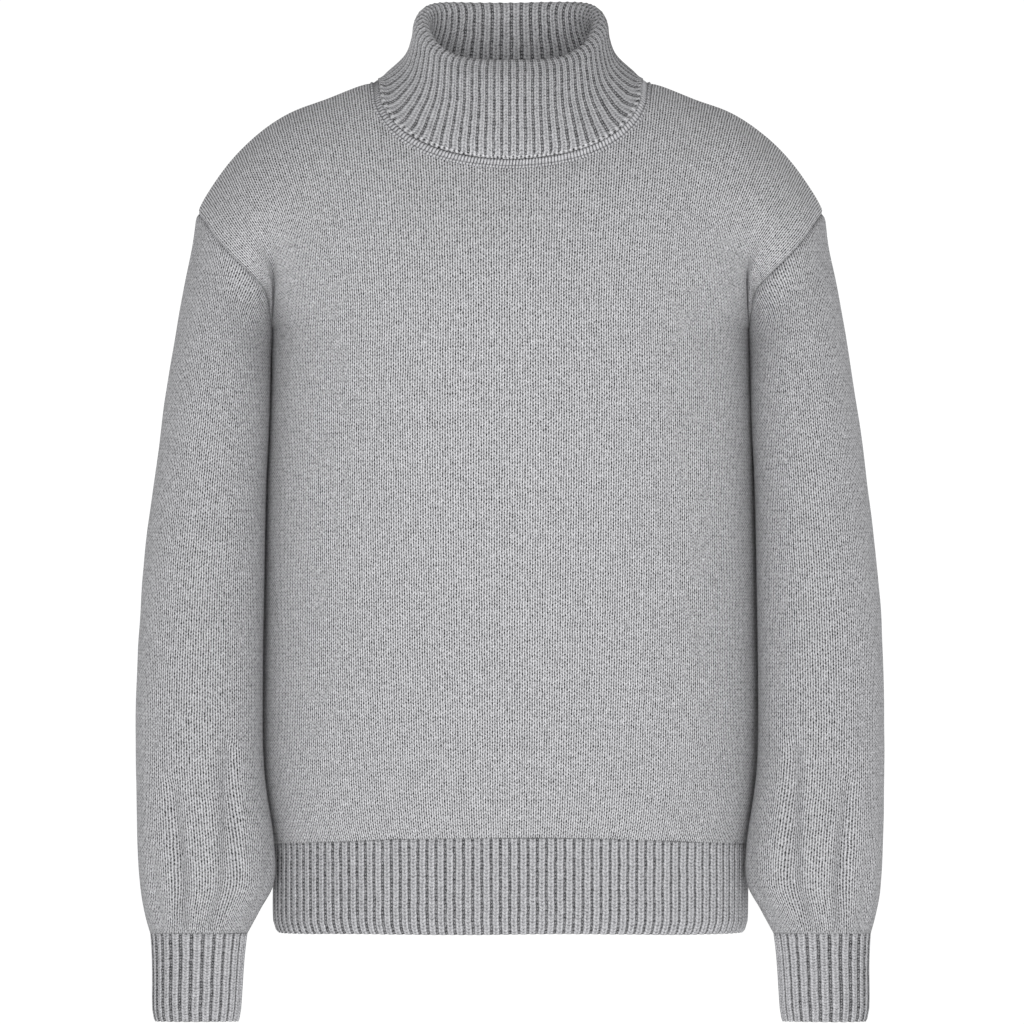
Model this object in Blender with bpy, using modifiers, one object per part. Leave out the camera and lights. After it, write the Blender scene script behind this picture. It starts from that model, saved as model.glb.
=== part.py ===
"""A turtleneck sweater, hollow, with the shape it keeps while it is worn.

Units are metres. X runs across the wearer, -Y is the front and +Z is up. The origin is
the middle of the neck opening, level with the tops of the shoulders, where the wearer
carries the sweater. Every wall is measured on its outer face and grows inwards.
"""

import bmesh
import bpy
from collections import namedtuple
from functools import lru_cache
from math import acos, atan2, cos, exp, pi, sin
from mathutils import Vector

GARMENT = "turtleneck_sweater"

# Knit walls, and the gaps that are left where two pieces are linked together.
KNIT_WALL = 0.0028
RIB_WALL = 0.0030
SEAM_GAP = 0.0003
CURVED_SEAM_GAP = 0.0006

# Shoulder line: level from the neck out, then falling along a quarter of an oval.
NECK_POINT = 0.106
SHOULDER_HEIGHT = -0.007
SHOULDER_RUN = 0.139
SHOULDER_DROP = 0.131
SHOULDER_ROUNDNESS = 1.1
SHOULDER_END = acos(0.301)

# Neck opening in the panels.
NECK_FRONT_HEIGHT = -0.0700
NECK_BACK_HEIGHT = -0.0200
NECK_ROUNDNESS = 0.87
NECK_SIDE_LINE = 0.380

# How the lines of stitches fan out over the shoulder, and where the body begins.
FAN = 1.7
UNDERARM_HEIGHT = -0.190
CAP_STARTS = 0.45

# Body rings. The lift is how much the middle of the front and back sits above the sides.
Section = namedtuple("Section", "height half_width front back lift")
BODY = (
    Section(height=-0.1900, half_width=0.1820, front=0.132, back=0.122, lift=0.0000),
    Section(height=-0.2450, half_width=0.1845, front=0.131, back=0.121, lift=0.0000),
    Section(height=-0.3200, half_width=0.1873, front=0.126, back=0.116, lift=0.0000),
    Section(height=-0.3980, half_width=0.1890, front=0.119, back=0.110, lift=0.0005),
    Section(height=-0.4740, half_width=0.1903, front=0.112, back=0.105, lift=0.0020),
    Section(height=-0.5360, half_width=0.1890, front=0.106, back=0.100, lift=0.0045),
    Section(height=-0.5680, half_width=0.1853, front=0.101, back=0.096, lift=0.0063),
    Section(height=-0.5837, half_width=0.1818, front=0.0965, back=0.0915, lift=0.0067),
)
HEM = (
    Section(height=-0.5837, half_width=0.1818, front=0.0965, back=0.0915, lift=0.0067),
    Section(height=-0.6100, half_width=0.1817, front=0.0960, back=0.0910, lift=0.0045),
    Section(height=-0.6430, half_width=0.1814, front=0.0955, back=0.0905, lift=0.0020),
    Section(height=-0.6518, half_width=0.1775, front=0.0925, back=0.0875, lift=0.0017),
)

# Armhole seam, from the end of the shoulder over the front of the arm to the underarm.
SeamPoint = namedtuple("SeamPoint", "across forward height")
ARMHOLE = (
    SeamPoint(across=0.2380, forward=0.000, height=-0.1030),
    SeamPoint(across=0.2310, forward=0.031, height=-0.1120),
    SeamPoint(across=0.2225, forward=0.047, height=-0.1240),
    SeamPoint(across=0.2110, forward=0.056, height=-0.1370),
    SeamPoint(across=0.1975, forward=0.055, height=-0.1500),
    SeamPoint(across=0.1853, forward=0.040, height=-0.1650),
    SeamPoint(across=0.1828, forward=0.000, height=-0.1900),
)

# Armpit fold: the front turns in between the body and the arm, deeper further down.
# Down is the share of the way from the shoulder to the underarm, out the share of the
# way from the middle of the panel to the armhole.
Fold = namedtuple("Fold", "down out depth width")
ARMPIT_FOLD = (
    Fold(down=0.48, out=0.790, depth=0.000, width=0.060),
    Fold(down=0.62, out=0.815, depth=0.012, width=0.052),
    Fold(down=0.75, out=0.850, depth=0.026, width=0.048),
    Fold(down=0.88, out=0.885, depth=0.024, width=0.040),
    Fold(down=1.00, out=0.920, depth=0.000, width=0.035),
)

# Sleeve rings, leaning at the top where they follow the armhole and level lower down.
Cut = namedtuple("Cut", "outer outer_height inner inner_height front back")
SLEEVE = (
    Cut(outer=0.2425, outer_height=-0.1260, inner=0.1845, inner_height=-0.2060, front=0.0575, back=0.0545),
    Cut(outer=0.2500, outer_height=-0.1640, inner=0.1852, inner_height=-0.2320, front=0.0610, back=0.0490),
    Cut(outer=0.2590, outer_height=-0.2180, inner=0.1855, inner_height=-0.2640, front=0.0650, back=0.0410),
    Cut(outer=0.2700, outer_height=-0.2920, inner=0.1869, inner_height=-0.3140, front=0.0690, back=0.0330),
    Cut(outer=0.2800, outer_height=-0.3720, inner=0.1879, inner_height=-0.3780, front=0.0715, back=0.0275),
    Cut(outer=0.2848, outer_height=-0.4560, inner=0.1888, inner_height=-0.4560, front=0.0720, back=0.0240),
    Cut(outer=0.2855, outer_height=-0.5240, inner=0.1878, inner_height=-0.5240, front=0.0720, back=0.0200),
    Cut(outer=0.2848, outer_height=-0.5840, inner=0.1815, inner_height=-0.5820, front=0.0700, back=0.0140),
    Cut(outer=0.2828, outer_height=-0.6160, inner=0.1814, inner_height=-0.6120, front=0.0645, back=0.0065),
    Cut(outer=0.2790, outer_height=-0.6360, inner=0.1915, inner_height=-0.6330, front=0.0565, back=-0.0035),
    Cut(outer=0.2745, outer_height=-0.6512, inner=0.2002, inner_height=-0.6512, front=0.0490, back=-0.0110),
)
CUFF = (
    Cut(outer=0.2740, outer_height=-0.6512, inner=0.2006, inner_height=-0.6512, front=0.0485, back=-0.0110),
    Cut(outer=0.2738, outer_height=-0.6720, inner=0.2025, inner_height=-0.6720, front=0.0490, back=-0.0120),
    Cut(outer=0.2736, outer_height=-0.7100, inner=0.2050, inner_height=-0.7100, front=0.0495, back=-0.0130),
    Cut(outer=0.2715, outer_height=-0.7205, inner=0.2070, inner_height=-0.7205, front=0.0480, back=-0.0145),
)

# Collar rings on the side that shows: up the turn-down, over the fold, down the stand.
# Free is 0 where the knit follows the shoulder and 1 where it stands on its own.
Ring = namedtuple("Ring", "half_width front back front_height side_height back_height free")
TURN_DOWN = (
    Ring(0.0905, 0.1010, 0.0575, -0.0440, 0.0080, 0.0050, 0.60),
    Ring(0.0808, 0.0930, 0.0565, -0.0220, 0.0200, 0.0240, 0.92),
    Ring(0.0772, 0.0840, 0.0540, -0.0030, 0.0320, 0.0410, 1.00),
    Ring(0.0765, 0.0765, 0.0505, 0.0050, 0.0415, 0.0535, 1.00),
)
STAND = (
    Ring(0.0705, 0.0700, 0.0440, 0.0105, 0.0475, 0.0602, 1.00),
    Ring(0.0645, 0.0645, 0.0380, 0.0040, 0.0415, 0.0535, 1.00),
    Ring(0.0655, 0.0680, 0.0365, -0.0130, 0.0290, 0.0340, 1.00),
    Ring(0.0720, 0.0770, 0.0370, -0.0330, 0.0160, 0.0120, 0.85),
    Ring(0.0850, 0.0880, 0.0385, -0.0520, 0.0030, -0.0060, 0.45),
)
RING_SQUARENESS = 3.5

# How far the pieces reach in from the neck opening, and how far they stand off the panels.
BAND_WIDTH = 0.009
TURN_DOWN_INSET = 0.0056
TURN_DOWN_LIFT = 0.0065
STAND_GAP = 0.0008

# Mesh counts, and the counts of points on the curves that the mesh is read from.
NECK_STEPS = 6
SIDE_STEPS = 7
SIDE_CROWDING = 1.45
YOKE_STEPS = 6
BODY_STEPS = 6
SEAM_STRIP = 0.012
SHOULDER_POINTS = 72
RING_POINTS = 60
SEAM_POINTS = 12

# Rounds of the two searches, and the short steps that a panel's slope is read from.
APPROACHES = 12
HALVINGS = 40
PROBE_DOWN = 0.02
PROBE_OUT = 0.01

# Base colour, roughness and metallic value of the two knits.
PLAIN_KNIT = ((0.44, 0.44, 0.455, 1.0), 0.95, 0.0)
RIB_KNIT = ((0.36, 0.36, 0.375, 1.0), 0.95, 0.0)


def ease(share):
    """Rise from 0 to 1 with a level start and a level end."""
    share = min(max(share, 0.0), 1.0)
    return share * share * (3.0 - 2.0 * share)


def between(table, position):
    """Read a table of rows at a position between them, on a smooth curve."""
    last = len(table) - 1
    index = min(int(position), last - 1)
    t = position - index
    rows = [table[min(max(index + step, 0), last)] for step in (-1, 0, 1, 2)]
    values = []
    for before, start, end, after in zip(*rows):
        slope_in = (end - before) / 2
        slope_out = (after - start) / 2
        cubic = 2 * start - 2 * end + slope_in + slope_out
        square = -3 * start + 3 * end - 2 * slope_in - slope_out
        values.append(((cubic * t + square) * t + slope_in) * t + start)
    return type(table[0])(*values)


def walk(points, share):
    """The point at a share of the length of a run of points."""
    lengths = [(b - a).length for a, b in zip(points, points[1:])]
    left = share * sum(lengths)
    for start, end, length in zip(points, points[1:], lengths):
        if left <= length:
            return start.lerp(end, left / length)
        left -= length
    return points[-1].copy()


@lru_cache(maxsize=None)
def shoulder_line():
    """Points of the shoulder line, from the middle out to the armhole."""
    points = [Vector((0.0, 0.0, SHOULDER_HEIGHT))]
    for step in range(SHOULDER_POINTS + 1):
        turn = SHOULDER_END * step / SHOULDER_POINTS
        across = NECK_POINT + SHOULDER_RUN * sin(turn) ** SHOULDER_ROUNDNESS
        fall = SHOULDER_DROP * (1.0 - cos(turn) ** SHOULDER_ROUNDNESS)
        points.append(Vector((across, 0.0, SHOULDER_HEIGHT - fall)))
    return points


@lru_cache(maxsize=None)
def shoulder_length():
    """Length of the shoulder line, from the middle out to the armhole."""
    return sum((b - a).length for a, b in zip(shoulder_line(), shoulder_line()[1:]))


@lru_cache(maxsize=None)
def shoulder(out):
    """The point of the shoulder line where a line of stitches starts."""
    return walk(shoulder_line(), out)


@lru_cache(maxsize=None)
def quarter_ring(section, side):
    """Points round a quarter of a body ring, from its middle to the side seam."""
    depth = section.front if side < 0 else section.back
    points = []
    for step in range(RING_POINTS + 1):
        turn = pi / 2 * step / RING_POINTS
        height = section.height + section.lift * cos(turn) ** 2
        points.append(Vector((section.half_width * sin(turn), side * depth * cos(turn), height)))
    return points


@lru_cache(maxsize=None)
def body(section, out, side):
    """A point on a body ring; side is -1 on the front and 1 on the back."""
    return walk(quarter_ring(section, side), out)


@lru_cache(maxsize=None)
def armhole_line():
    """Points of the front half of the armhole, from the shoulder to the underarm."""
    first, second = ARMHOLE[0], ARMHOLE[1]
    last, before_last = ARMHOLE[-1], ARMHOLE[-2]
    start = second._replace(forward=-second.forward)
    end = before_last._replace(forward=-before_last.forward)
    loop = (start, first) + ARMHOLE[1:-1] + (last, end)
    points = []
    for step in range(len(ARMHOLE) * SEAM_POINTS):
        share = step / (len(ARMHOLE) * SEAM_POINTS - 1)
        point = between(loop, 1 + share * (len(ARMHOLE) - 1))
        points.append(Vector((point.across, point.forward, point.height)))
    return points


@lru_cache(maxsize=None)
def armhole(down):
    """A point of the armhole; y is how far forward or back it is."""
    return walk(armhole_line(), down)


def armpit_fold(down, out):
    """How deep the cloth turns in between the body and the arm."""
    if not ARMPIT_FOLD[0].down < down < 1.0:
        return 0.0
    index = max(i for i, fold in enumerate(ARMPIT_FOLD) if fold.down <= down)
    start, end = ARMPIT_FOLD[index], ARMPIT_FOLD[index + 1]
    fold = between(ARMPIT_FOLD, index + (down - start.down) / (end.down - start.down))
    return fold.depth * exp(-((out - fold.out) / fold.width) ** 2)


def yoke(down, out, side):
    """A point of a panel above the underarm, on the wearer's left half.

    Each line of stitches (out) starts on the shoulder and runs down (down, 0 to 1) a
    quarter of an oval to the underarm ring. The outermost one is the armhole seam.
    """
    turn = down * pi / 2
    top = shoulder(out)
    foot = body(BODY[0], out, side)
    across = foot.x + (top.x - foot.x) * cos(turn) ** FAN
    height = top.z + (foot.z - top.z) * (1.0 - cos(turn))
    depth = abs(foot.y) * sin(turn)
    seam = armhole(down)
    cap = ease((out - CAP_STARTS) / (1.0 - CAP_STARTS))
    depth += cap * seam.y
    tip, underarm = shoulder(1.0), body(BODY[0], 1.0, side)
    across += cap * (seam.x - underarm.x - (tip.x - underarm.x) * cos(turn) ** FAN)
    height += cap * (seam.z - tip.z - (underarm.z - tip.z) * (1.0 - cos(turn)))
    depth -= armpit_fold(down, out)
    return Vector((across, side * (depth + CURVED_SEAM_GAP / 2), height))


def neck_edge(turn, side):
    """Across and height of the neck opening; turn is 0 in the middle, pi / 2 at the side."""
    lowest = NECK_FRONT_HEIGHT if side < 0 else NECK_BACK_HEIGHT
    across = NECK_POINT * sin(turn) ** NECK_ROUNDNESS
    return across, SHOULDER_HEIGHT + (lowest - SHOULDER_HEIGHT) * cos(turn) ** NECK_ROUNDNESS


@lru_cache(maxsize=None)
def neck_place(turn, side):
    """The line of stitches, and the share of the way down it, where the neck opening runs."""
    across, height = neck_edge(turn, side)
    line_width = shoulder_length()
    out = across / line_width
    fall = (height - SHOULDER_HEIGHT) / (UNDERARM_HEIGHT - SHOULDER_HEIGHT)
    down = acos(1.0 - fall) / (pi / 2)
    for _ in range(APPROACHES):
        out += (across - yoke(down, out, side).x) / line_width
    return out, down


@lru_cache(maxsize=None)
def neck_corner(side):
    """The turn at which the neck opening reaches the line that it then follows upwards."""
    low, high = 0.0, pi / 2
    for _ in range(HALVINGS):
        middle = (low + high) / 2
        if neck_place(middle, side)[0] < NECK_SIDE_LINE:
            low = middle
        else:
            high = middle
    return low


def neck_starts(side):
    """Where the neck opening crosses the panel's lines, from the middle to its side line."""
    corner = neck_corner(side)
    return [neck_place(corner * step / NECK_STEPS, side) for step in range(NECK_STEPS + 1)]


def side_shares(side):
    """Shares of the way down the lines that start on the shoulder, where rows run."""
    corner = neck_starts(side)[-1][1]
    rest = [corner + (1.0 - corner) * step / YOKE_STEPS for step in range(YOKE_STEPS)]
    return [0.0, SEAM_STRIP, corner / 2] + rest


def side_lines():
    """Lines of stitches past the neck, crowded at the armhole, where the panel folds."""
    lines = []
    for step in range(1, SIDE_STEPS):
        share = 1.0 - (1.0 - step / SIDE_STEPS) ** SIDE_CROWDING
        lines.append(NECK_SIDE_LINE + (1.0 - NECK_SIDE_LINE) * share)
    return lines + [1.0 - SEAM_STRIP / 2, 1.0]


def panel_rows(side):
    """Half a panel, from the neck and shoulder down to the hem. None is past its edge."""
    starts = neck_starts(side)
    shares = side_shares(side)
    above = len(shares) - YOKE_STEPS
    rows = []
    for row, share in enumerate(shares):
        step = (row - above) / YOKE_STEPS
        points = []
        for out, start in starts[:-1]:
            points.append(None if step < 0 else yoke(start + (1.0 - start) * step, out, side))
        for out in [NECK_SIDE_LINE] + side_lines():
            points.append(yoke(share, out, side))
        rows.append(points)
    for step in range(BODY_STEPS + 1):
        section = between(BODY, (len(BODY) - 1) * step / BODY_STEPS)
        rows.append([seamed(body(section, out, side), side) for out in panel_lines(side)])
    return rows


def panel_lines(side):
    """Every line of stitches that the panel's mesh follows."""
    return [out for out, start in neck_starts(side)] + side_lines()


def seamed(point, side):
    """Move a point off the side seam by half the gap."""
    return Vector((point.x, point.y + side * SEAM_GAP / 2, point.z))


def hem_rows(side):
    """Half of the hem rib, just below the panel."""
    rows = []
    for section in HEM:
        below = section._replace(height=section.height - SEAM_GAP)
        rows.append([seamed(body(below, out, side), side) for out in panel_lines(side)])
    return rows


def tube_turns():
    """Angles round a sleeve, in half turns from its outer side, that match the panels' rows."""
    return side_shares(-1) + [1.0] + [2.0 - share for share in side_shares(1)[:0:-1]]


def tube_ring(cut, hand):
    """One ring of a sleeve or cuff; hand is 1 for the wearer's left and -1 for the right."""
    middle = Vector(((cut.outer + cut.inner) / 2, 0.0, (cut.outer_height + cut.inner_height) / 2))
    reach = Vector((cut.outer - cut.inner, 0.0, cut.outer_height - cut.inner_height)) / 2
    centre = (cut.back - cut.front) / 2
    depth = (cut.back + cut.front) / 2
    ring = []
    for turn in tube_turns():
        point = middle + reach * cos(pi * turn)
        ring.append(Vector((hand * point.x, centre - depth * sin(pi * turn), point.z)))
    return ring


def armhole_ring(hand):
    """The ring of the armhole, where a sleeve starts."""
    ring = []
    for turn in tube_turns():
        point = armhole(turn if turn <= 1.0 else 2.0 - turn)
        back = 1.0 if turn > 1.0 else -1.0
        ring.append(Vector((hand * point.x, back * point.y, point.z)))
    return ring


def neck_places():
    """Places round half the neck, from the middle of the front to the middle of the back."""
    half = []
    for side in (-1, 1):
        shares = side_shares(side)
        rising = [(NECK_SIDE_LINE, share) for share in shares[len(shares) - YOKE_STEPS - 1::-1]]
        quarter = [(side, out, down) for out, down in neck_starts(side) + rising]
        half += quarter if side < 0 else quarter[-2::-1]
    return half


def yoke_ring(inset, lift):
    """A ring round the neck on the panels, moved in by an inset and off them by a lift."""
    points, normals = [], []
    for side, out, down in neck_places():
        point = yoke(down, out, side)
        below = yoke(down + PROBE_DOWN, out, side) - point
        beside = yoke(down, out + PROBE_OUT, side) - point
        normal = below.cross(beside) * -side
        if down == 0.0:
            point.y = normal.y = 0.0
        points.append(point)
        normals.append(normal.normalized())
    ring = []
    for index, (point, normal) in enumerate(zip(points, normals)):
        before = points[index - 1] if index else mirrored(points[1])
        after = points[index + 1] if index + 1 < len(points) else mirrored(points[-2])
        inward = normal.cross(after - before).normalized()
        ring.append(point + inward * inset + normal * lift)
    return ring + [mirrored(point) for point in ring[-2:0:-1]]


def mirrored(point):
    """The same point on the wearer's other half."""
    return Vector((-point.x, point.y, point.z))


def free_ring(ring, turns):
    """One ring of the standing collar, dipping towards the front."""
    mean = (ring.front_height + ring.back_height) / 2
    level = (mean + ring.side_height) / 2
    tilt = (ring.front_height - ring.back_height) / 2
    saddle = (mean - ring.side_height) / 2
    points = []
    for turn in turns:
        along = (1.0 if cos(turn) >= 0 else -1.0) * (1.0 - abs(sin(turn)) ** RING_SQUARENESS) ** 0.5
        depth = ring.front if cos(turn) >= 0 else ring.back
        height = level + tilt * along + saddle * (2 * along * along - 1.0)
        points.append(Vector((ring.half_width * sin(turn), -depth * cos(turn), height)))
    return points


def collar_turns(edge):
    """Plan angles of the points round the neck, 0 in the middle of the front."""
    front, back = -edge[0].y, edge[len(edge) // 2].y
    turns = []
    for point in edge:
        depth = front if point.y <= 0 else back
        turns.append(atan2(point.x / NECK_POINT, -point.y / depth))
    return turns


def blended(rings, resting, turns):
    """Rings of the collar, each between the ring that rests on the shoulder and a free one."""
    result = []
    for ring in rings:
        free = free_ring(ring, turns)
        result.append([rest.lerp(stand, ring.free) for rest, stand in zip(resting, free)])
    return result


def stepped(start, end, gap):
    """Move the points of one ring by a small gap towards another ring."""
    return [a + (b - a).normalized() * gap for a, b in zip(start, end)]


def knit(name, rows, wall, finish, closed=False, halved=False):
    """Make a knitted wall: quads between neighbouring rows, thickened inwards."""
    mesh = bpy.data.meshes.new(name)
    shell = bmesh.new()
    grid = [[point and shell.verts.new(point) for point in row] for row in rows]
    for upper, lower in zip(grid, grid[1:]):
        count = len(upper)
        for here in range(count if closed else count - 1):
            there = (here + 1) % count
            corners = (upper[here], lower[here], lower[there], upper[there])
            if None not in corners:
                shell.faces.new(corners)
    shell.to_mesh(mesh)
    shell.free()
    mesh.shade_smooth()
    piece = bpy.data.objects.new(name, mesh)
    collection.objects.link(piece)
    piece.parent = wearer
    if halved:
        mirror = piece.modifiers.new("other_half", "MIRROR")
        mirror.merge_threshold = 0.0001
    solidify = piece.modifiers.new("wall", "SOLIDIFY")
    solidify.thickness = wall
    solidify.offset = -1.0
    solidify.use_even_offset = True
    solidify.use_quality_normals = True
    colour, roughness, metallic = finish
    material = bpy.data.materials.new(name + "_knit")
    material.use_nodes = True
    shader = material.node_tree.nodes["Principled BSDF"]
    shader.inputs["Base Color"].default_value = colour
    shader.inputs["Roughness"].default_value = roughness
    shader.inputs["Metallic"].default_value = metallic
    mesh.materials.append(material)
    return piece


def reversed_rows(rows):
    """Turn each row round, so that the faces look the other way."""
    return [row[::-1] for row in rows]


def make_body():
    """Front and back panels with their hem ribs."""
    knit("front_panel", panel_rows(-1), KNIT_WALL, PLAIN_KNIT, halved=True)
    knit("back_panel", reversed_rows(panel_rows(1)), KNIT_WALL, PLAIN_KNIT, halved=True)
    knit("hem_rib_front", hem_rows(-1), RIB_WALL, RIB_KNIT, halved=True)
    knit("hem_rib_back", reversed_rows(hem_rows(1)), RIB_WALL, RIB_KNIT, halved=True)


def make_sleeves():
    """Both sleeves, each with its cuff."""
    for name, hand in (("left", 1), ("right", -1)):
        sleeve = [tube_ring(cut, hand) for cut in SLEEVE]
        sleeve.insert(0, stepped(armhole_ring(hand), sleeve[0], CURVED_SEAM_GAP))
        cuff = []
        for cut in CUFF:
            below = cut._replace(
                outer_height=cut.outer_height - SEAM_GAP, inner_height=cut.inner_height - SEAM_GAP
            )
            cuff.append(tube_ring(below, hand))
        if hand > 0:
            sleeve = reversed_rows(sleeve)
            cuff = reversed_rows(cuff)
        knit("sleeve_" + name, sleeve, KNIT_WALL, PLAIN_KNIT, closed=True)
        knit("cuff_" + name, cuff, RIB_WALL, RIB_KNIT, closed=True)


def make_collar():
    """The linking band round the neck, and the folded collar that stands on it."""
    edge = yoke_ring(0.0, 0.0)
    turns = collar_turns(edge)
    band_top = yoke_ring(BAND_WIDTH, 0.0)
    band = [band_top, stepped(edge, band_top, CURVED_SEAM_GAP)]
    knit("neck_seam", band, KNIT_WALL, PLAIN_KNIT, closed=True)
    free_edge = yoke_ring(TURN_DOWN_INSET, TURN_DOWN_LIFT)
    outside = [free_edge] + blended(TURN_DOWN, free_edge, turns)
    inside = blended(STAND, band_top, turns)
    foot = stepped(band_top, inside[-1], STAND_GAP)
    knit("collar", [ring[::-1] for ring in outside + inside + [foot]], RIB_WALL, RIB_KNIT, closed=True)


for leftover in list(bpy.data.objects):
    bpy.data.objects.remove(leftover, do_unlink=True)
collection = bpy.data.collections.new(GARMENT)
bpy.context.scene.collection.children.link(collection)
wearer = bpy.data.objects.new("held_by_wearer", None)
collection.objects.link(wearer)
make_body()
make_sleeves()
make_collar()
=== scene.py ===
from bisect import bisect
from collections import namedtuple
from functools import lru_cache
from math import acos, atan2, cos, exp, pi, sin

import bmesh
import bpy
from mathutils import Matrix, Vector, noise


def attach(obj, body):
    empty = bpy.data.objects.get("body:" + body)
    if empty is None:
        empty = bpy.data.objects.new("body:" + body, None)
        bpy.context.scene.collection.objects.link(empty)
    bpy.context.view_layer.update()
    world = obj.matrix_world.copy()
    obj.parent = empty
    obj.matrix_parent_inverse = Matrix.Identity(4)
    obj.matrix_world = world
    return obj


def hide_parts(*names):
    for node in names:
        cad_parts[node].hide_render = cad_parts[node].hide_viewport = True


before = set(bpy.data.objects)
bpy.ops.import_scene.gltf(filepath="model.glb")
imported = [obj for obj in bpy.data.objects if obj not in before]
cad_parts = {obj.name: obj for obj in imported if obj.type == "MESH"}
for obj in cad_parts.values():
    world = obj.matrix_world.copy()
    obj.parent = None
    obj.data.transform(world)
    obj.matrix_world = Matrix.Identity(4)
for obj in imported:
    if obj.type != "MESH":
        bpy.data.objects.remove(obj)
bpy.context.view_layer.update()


# Front and back panels
# Two panels of light grey melange wool in plain stitch, shaped while they are knitted and
# linked to each other along the shoulders and sides. Every line of stitches starts on the
# shoulder or at the neck, falls over the chest or the back and runs down to the hem.

PANEL_WALES = 128
PANEL_COURSE = 0.00275
PANEL_WALL = 0.0020
NECK_POINT = 0.106
SHOULDER_HEIGHT = -0.007
SHOULDER_RUN = 0.139
SHOULDER_DROP = 0.131
SHOULDER_ROUNDNESS = 1.1
SHOULDER_END = acos(0.301)
NECK_FRONT_HEIGHT = -0.0700
NECK_BACK_HEIGHT = -0.0200
NECK_ROUNDNESS = 0.87
NECK_SIDE_LINE = 0.380
UNDERARM_HEIGHT = -0.190
PANEL_ROW = 0.0042
PANEL_HALF_GIRTH = 0.255

# Fan is how strongly the lines of stitches spread over the shoulder. From the line where
# the cap starts, out to the armhole, they bend to meet it.
FAN = 1.7
CAP_STARTS = 0.45

# Cloth lies flat within this distance of a seam, then stands up a little and sinks back.
SEAM_HOLD = 0.007
SWELL_HEIGHT = 0.0015
SWELL_RISE = 0.0018
SWELL_SPREAD = 0.018

Section = namedtuple("Section", "height half_width front back lift")
BODY = (
    Section(height=-0.1900, half_width=0.1820, front=0.132, back=0.122, lift=0.0000),
    Section(height=-0.2450, half_width=0.1845, front=0.131, back=0.121, lift=0.0000),
    Section(height=-0.3200, half_width=0.1873, front=0.126, back=0.116, lift=0.0000),
    Section(height=-0.3980, half_width=0.1890, front=0.119, back=0.110, lift=0.0005),
    Section(height=-0.4740, half_width=0.1903, front=0.112, back=0.105, lift=0.0020),
    Section(height=-0.5360, half_width=0.1890, front=0.106, back=0.100, lift=0.0045),
    Section(height=-0.5680, half_width=0.1853, front=0.101, back=0.096, lift=0.0063),
    Section(height=-0.5837, half_width=0.1818, front=0.0965, back=0.0915, lift=0.0067),
)

SeamPoint = namedtuple("SeamPoint", "across forward height")
ARMHOLE = (
    SeamPoint(across=0.2380, forward=0.000, height=-0.1030),
    SeamPoint(across=0.2310, forward=0.031, height=-0.1120),
    SeamPoint(across=0.2225, forward=0.047, height=-0.1240),
    SeamPoint(across=0.2110, forward=0.056, height=-0.1370),
    SeamPoint(across=0.1975, forward=0.055, height=-0.1500),
    SeamPoint(across=0.1853, forward=0.040, height=-0.1650),
    SeamPoint(across=0.1828, forward=0.000, height=-0.1900),
)

# Where the shoulder line is fuller than its even curve, beside the collar, and flatter.
Swell = namedtuple("Swell", "across rise width")
SHOULDER_SWELLS = (
    Swell(across=0.104, rise=0.0042, width=0.018),
    Swell(across=0.145, rise=-0.0022, width=0.018),
)

# The fold between the body and the arm, by its way down the panel and its line of stitches.
Fold = namedtuple("Fold", "down out depth width")
ARMPIT_FOLD = (
    Fold(down=0.46, out=0.835, depth=0.000, width=0.040),
    Fold(down=0.62, out=0.862, depth=0.006, width=0.025),
    Fold(down=0.75, out=0.895, depth=0.011, width=0.020),
    Fold(down=0.88, out=0.925, depth=0.010, width=0.017),
    Fold(down=1.00, out=0.950, depth=0.000, width=0.016),
)

# Soft creases, as lines on the panel seen from its own side. A ridge has a depth below 0.
Crease = namedtuple("Crease", "start_x start_z end_x end_z width depth")
FRONT_CREASES = (
    Crease(0.168, -0.205, 0.096, -0.285, 0.017, 0.0016),
    Crease(-0.170, -0.200, -0.108, -0.262, 0.015, 0.0015),
    Crease(0.150, -0.255, 0.118, -0.345, 0.020, 0.0012),
    Crease(-0.142, -0.270, -0.104, -0.372, 0.021, 0.0013),
    Crease(0.060, -0.190, 0.018, -0.270, 0.028, -0.0010),
    Crease(-0.085, -0.215, -0.030, -0.330, 0.030, -0.0011),
    Crease(0.120, -0.470, 0.066, -0.560, 0.019, 0.0012),
    Crease(-0.128, -0.500, -0.090, -0.572, 0.017, 0.0013),
    Crease(-0.030, -0.480, 0.012, -0.565, 0.022, 0.0009),
    Crease(0.158, -0.520, 0.126, -0.575, 0.013, 0.0012),
)
BACK_CREASES = (
    Crease(0.160, -0.215, 0.060, -0.300, 0.019, 0.0020),
    Crease(-0.164, -0.205, -0.084, -0.310, 0.018, 0.0018),
    Crease(0.140, -0.300, 0.050, -0.368, 0.022, 0.0016),
    Crease(-0.146, -0.330, -0.040, -0.392, 0.021, 0.0017),
    Crease(0.020, -0.115, -0.012, -0.210, 0.024, 0.0012),
    Crease(0.118, -0.455, 0.048, -0.562, 0.019, 0.0016),
    Crease(-0.108, -0.470, -0.070, -0.570, 0.018, 0.0015),
    Crease(-0.008, -0.500, -0.016, -0.572, 0.020, 0.0012),
)


def ease(share):
    """Rise from 0 to 1 with a level start and a level end."""
    share = min(max(share, 0.0), 1.0)
    return share * share * (3.0 - 2.0 * share)


def smooth(before, start, end, after, t):
    """Between a start and an end, on a curve that heeds the values on either side."""
    slope_in = (end - before) / 2
    slope_out = (after - start) / 2
    cubic = 2 * start - 2 * end + slope_in + slope_out
    square = 3 * end - 3 * start - 2 * slope_in - slope_out
    return ((cubic * t + square) * t + slope_in) * t + start


def around(items, position):
    """The four neighbours of a position in a list, and how far it is between the middle two."""
    last = len(items) - 1
    index = min(int(position), last - 1)
    return [items[min(max(index + step, 0), last)] for step in (-1, 0, 1, 2)], position - index


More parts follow.
